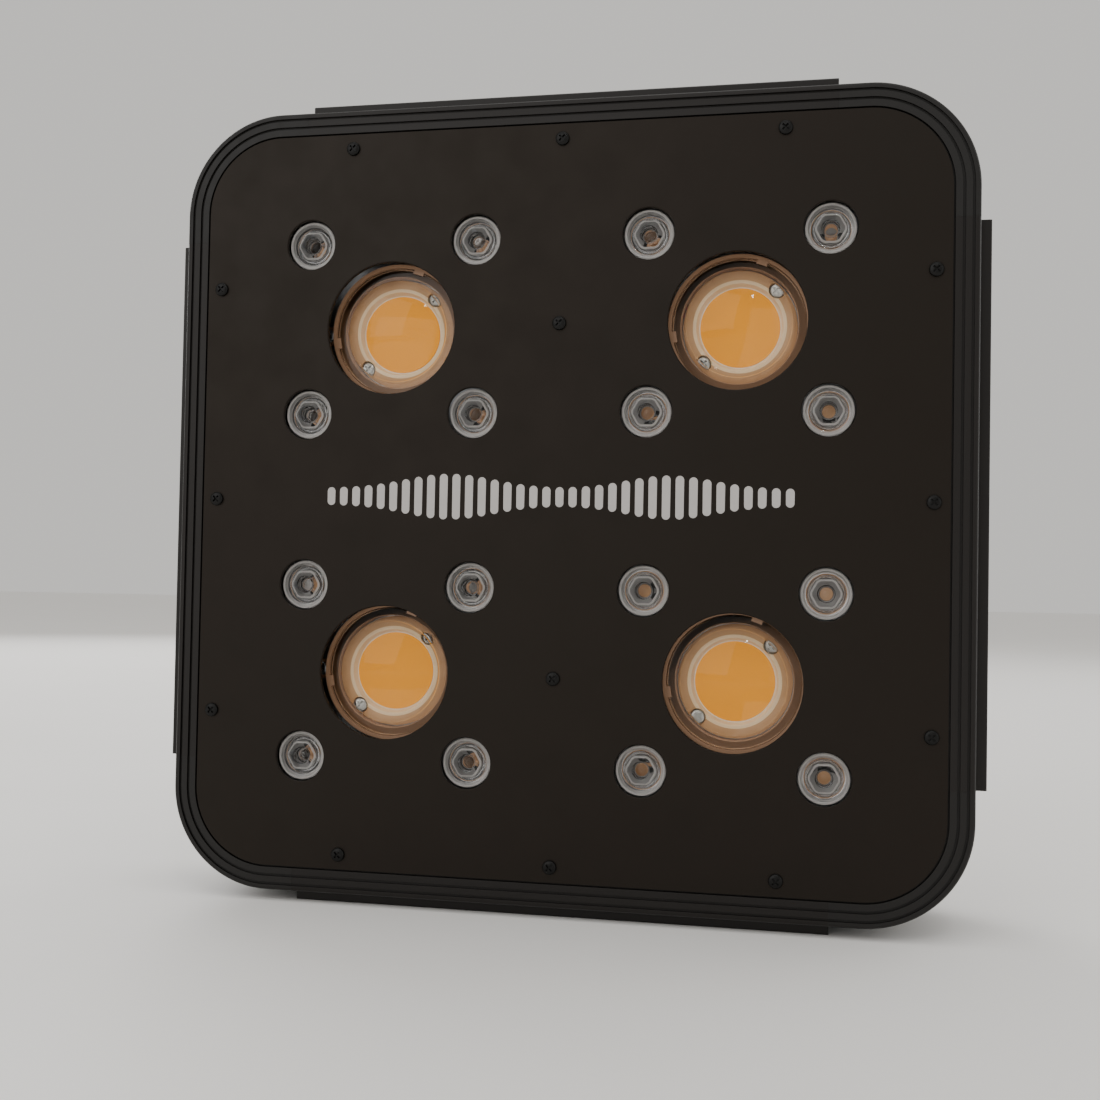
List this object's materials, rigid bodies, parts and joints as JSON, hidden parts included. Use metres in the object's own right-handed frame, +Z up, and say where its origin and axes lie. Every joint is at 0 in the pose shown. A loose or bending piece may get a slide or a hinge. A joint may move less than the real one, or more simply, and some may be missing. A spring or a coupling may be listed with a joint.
{
  "type": "led grow light",
  "caption": "Square hanging LED grow light: glass-domed chip-on-board lamps among small lensed LEDs in a black face plate, ribbed side rails, round corners and fans behind.",
  "frame": {"origin": "on the floor under the middle of the lamp, as it stands on its lower edge", "axes": "+Z up, the lamp standing on its lower edge; the lit face looks towards -Y and +X is to the right seen from the front. To hang it, turn it so that -Y points down."},
  "size_m": [0.376, 0.0892, 0.376],
  "materials": {
    "powder_coat": "fine matt black powder coat on sheet steel",
    "black_anodised": "black anodised extrusion with fine draw lines",
    "black_moulded": "black moulded plastic, fine spark texture",
    "black_screws": "black oxide steel",
    "zinc_steel": "bright zinc plated steel",
    "nickel_wire": "nickel plated wire",
    "bare_aluminium": "mill finish extruded aluminium",
    "white_board": "white solder mask over an aluminium board",
    "phosphor": "yellow-orange phosphor in clear silicone",
    "emitter": "clear silicone dome over a phosphor-coated chip",
    "white_moulded": "white moulded plastic",
    "tan_moulded": "tan moulded plastic",
    "clear_silicone": "milky tan silicone rubber",
    "glass": "clear pressed borosilicate glass",
    "clear_acrylic": "clear moulded acrylic",
    "fan_plastic": "black glass-filled plastic",
    "wire_insulation": "red silicone wire insulation",
    "inlet_plastic": "black moulded thermoplastic",
    "contact_brass": "nickel-flashed brass blades",
    "rocker_red": "translucent red moulded plastic"
  },
  "bodies": {
    "housing": {"face_plate": "powder_coat", "face_screws": "black_screws", "rail_top": "black_anodised", "rail_bottom": "black_anodised", "rail_left": "black_anodised", "rail_right": "black_anodised", "corner_top_left": "black_moulded", "corner_top_right": "black_moulded", "corner_bottom_left": "black_moulded", "corner_bottom_right": "black_moulded", "corner_screws": "zinc_steel", "rear_cover": "powder_coat", "rear_cover_screws": "black_screws", "heat_sink_top_left": "bare_aluminium", "heat_sink_top_right": "bare_aluminium", "heat_sink_bottom_left": "bare_aluminium", "heat_sink_bottom_right": "bare_aluminium", "heat_sink_posts": "zinc_steel", "heat_sink_nuts": "zinc_steel", "cob_boards": "white_board", "cob_phosphors": "phosphor", "cob_holders": "white_moulded", "light_engine_screws": "zinc_steel", "lens_brackets": "tan_moulded", "lens_gaskets": "clear_silicone", "cob_lens_top_left": "glass", "cob_lens_top_right": "glass", "cob_lens_bottom_left": "glass", "cob_lens_bottom_right": "glass", "star_boards": "white_board", "led_emitters": "emitter", "small_lens_holders": "black_moulded", "small_lenses": "clear_acrylic", "fan_frame_top_left": "fan_plastic", "fan_frame_top_right": "fan_plastic", "fan_frame_bottom_left": "fan_plastic", "fan_frame_bottom_right": "fan_plastic", "fan_guards": "nickel_wire", "fan_screws": "zinc_steel", "driver_tray": "zinc_steel", "driver_upper": "bare_aluminium", "driver_lower": "bare_aluminium", "wiring": "wire_insulation", "power_inlet": "inlet_plastic", "inlet_contacts": "contact_brass", "switch_bodies": "inlet_plastic", "hanger_brackets": "zinc_steel", "hanger_rivets": "zinc_steel", "hanger_pins": "zinc_steel"},
    "fan_top_left": {"fan_rotor_top_left": "fan_plastic"},
    "fan_top_right": {"fan_rotor_top_right": "fan_plastic"},
    "fan_bottom_left": {"fan_rotor_bottom_left": "fan_plastic"},
    "fan_bottom_right": {"fan_rotor_bottom_right": "fan_plastic"},
    "rocker_left": {"rocker_left": "rocker_red"},
    "rocker_right": {"rocker_right": "rocker_red"},
    "fuse_drawer": {"fuse_drawer": "inlet_plastic"},
    "hanger_top_left": {"hanger_tab_top_left": "zinc_steel"},
    "hanger_top_right": {"hanger_tab_top_right": "zinc_steel"},
    "hanger_bottom_left": {"hanger_tab_bottom_left": "zinc_steel"},
    "hanger_bottom_right": {"hanger_tab_bottom_right": "zinc_steel"}
  },
  "joints": [
    {"name": "fan_spin_top_left", "type": "hinge", "parent": "housing", "child": "fan_top_left", "pos_m": [-0.08, 0.02107, 0.268], "axis": [0, 1, 0], "continuous": true},
    {"name": "fan_spin_top_right", "type": "hinge", "parent": "housing", "child": "fan_top_right", "pos_m": [0.08, 0.02107, 0.268], "axis": [0, 1, 0], "continuous": true},
    {"name": "fan_spin_bottom_left", "type": "hinge", "parent": "housing", "child": "fan_bottom_left", "pos_m": [-0.08, 0.02107, 0.108], "axis": [0, 1, 0], "continuous": true},
    {"name": "fan_spin_bottom_right", "type": "hinge", "parent": "housing", "child": "fan_bottom_right", "pos_m": [0.08, 0.02107, 0.108], "axis": [0, 1, 0], "continuous": true},
    {"name": "rocker_left_press", "type": "hinge", "parent": "housing", "child": "rocker_left", "pos_m": [-0.012, 0.03308, 0.24], "axis": [1, 0, 0], "range_deg": [0, 20]},
    {"name": "rocker_right_press", "type": "hinge", "parent": "housing", "child": "rocker_right", "pos_m": [0.012, 0.03308, 0.24], "axis": [1, 0, 0], "range_deg": [0, 20]},
    {"name": "fuse_drawer_slide", "type": "slide", "parent": "housing", "child": "fuse_drawer", "axis": [0, 1, 0], "range_m": [0, 0.018]},
    {"name": "hanger_top_left_swing", "type": "hinge", "parent": "housing", "child": "hanger_top_left", "pos_m": [-0.148, 0.03957, 0.328], "axis": [1, 0, 0], "range_deg": [0, 180]},
    {"name": "hanger_top_right_swing", "type": "hinge", "parent": "housing", "child": "hanger_top_right", "pos_m": [0.148, 0.03957, 0.328], "axis": [1, 0, 0], "range_deg": [0, 180]},
    {"name": "hanger_bottom_left_swing", "type": "hinge", "parent": "housing", "child": "hanger_bottom_left", "pos_m": [-0.148, 0.03957, 0.048], "axis": [1, 0, 0], "range_deg": [0, 180]},
    {"name": "hanger_bottom_right_swing", "type": "hinge", "parent": "housing", "child": "hanger_bottom_right", "pos_m": [0.148, 0.03957, 0.048], "axis": [1, 0, 0], "range_deg": [0, 180]}
  ]
}
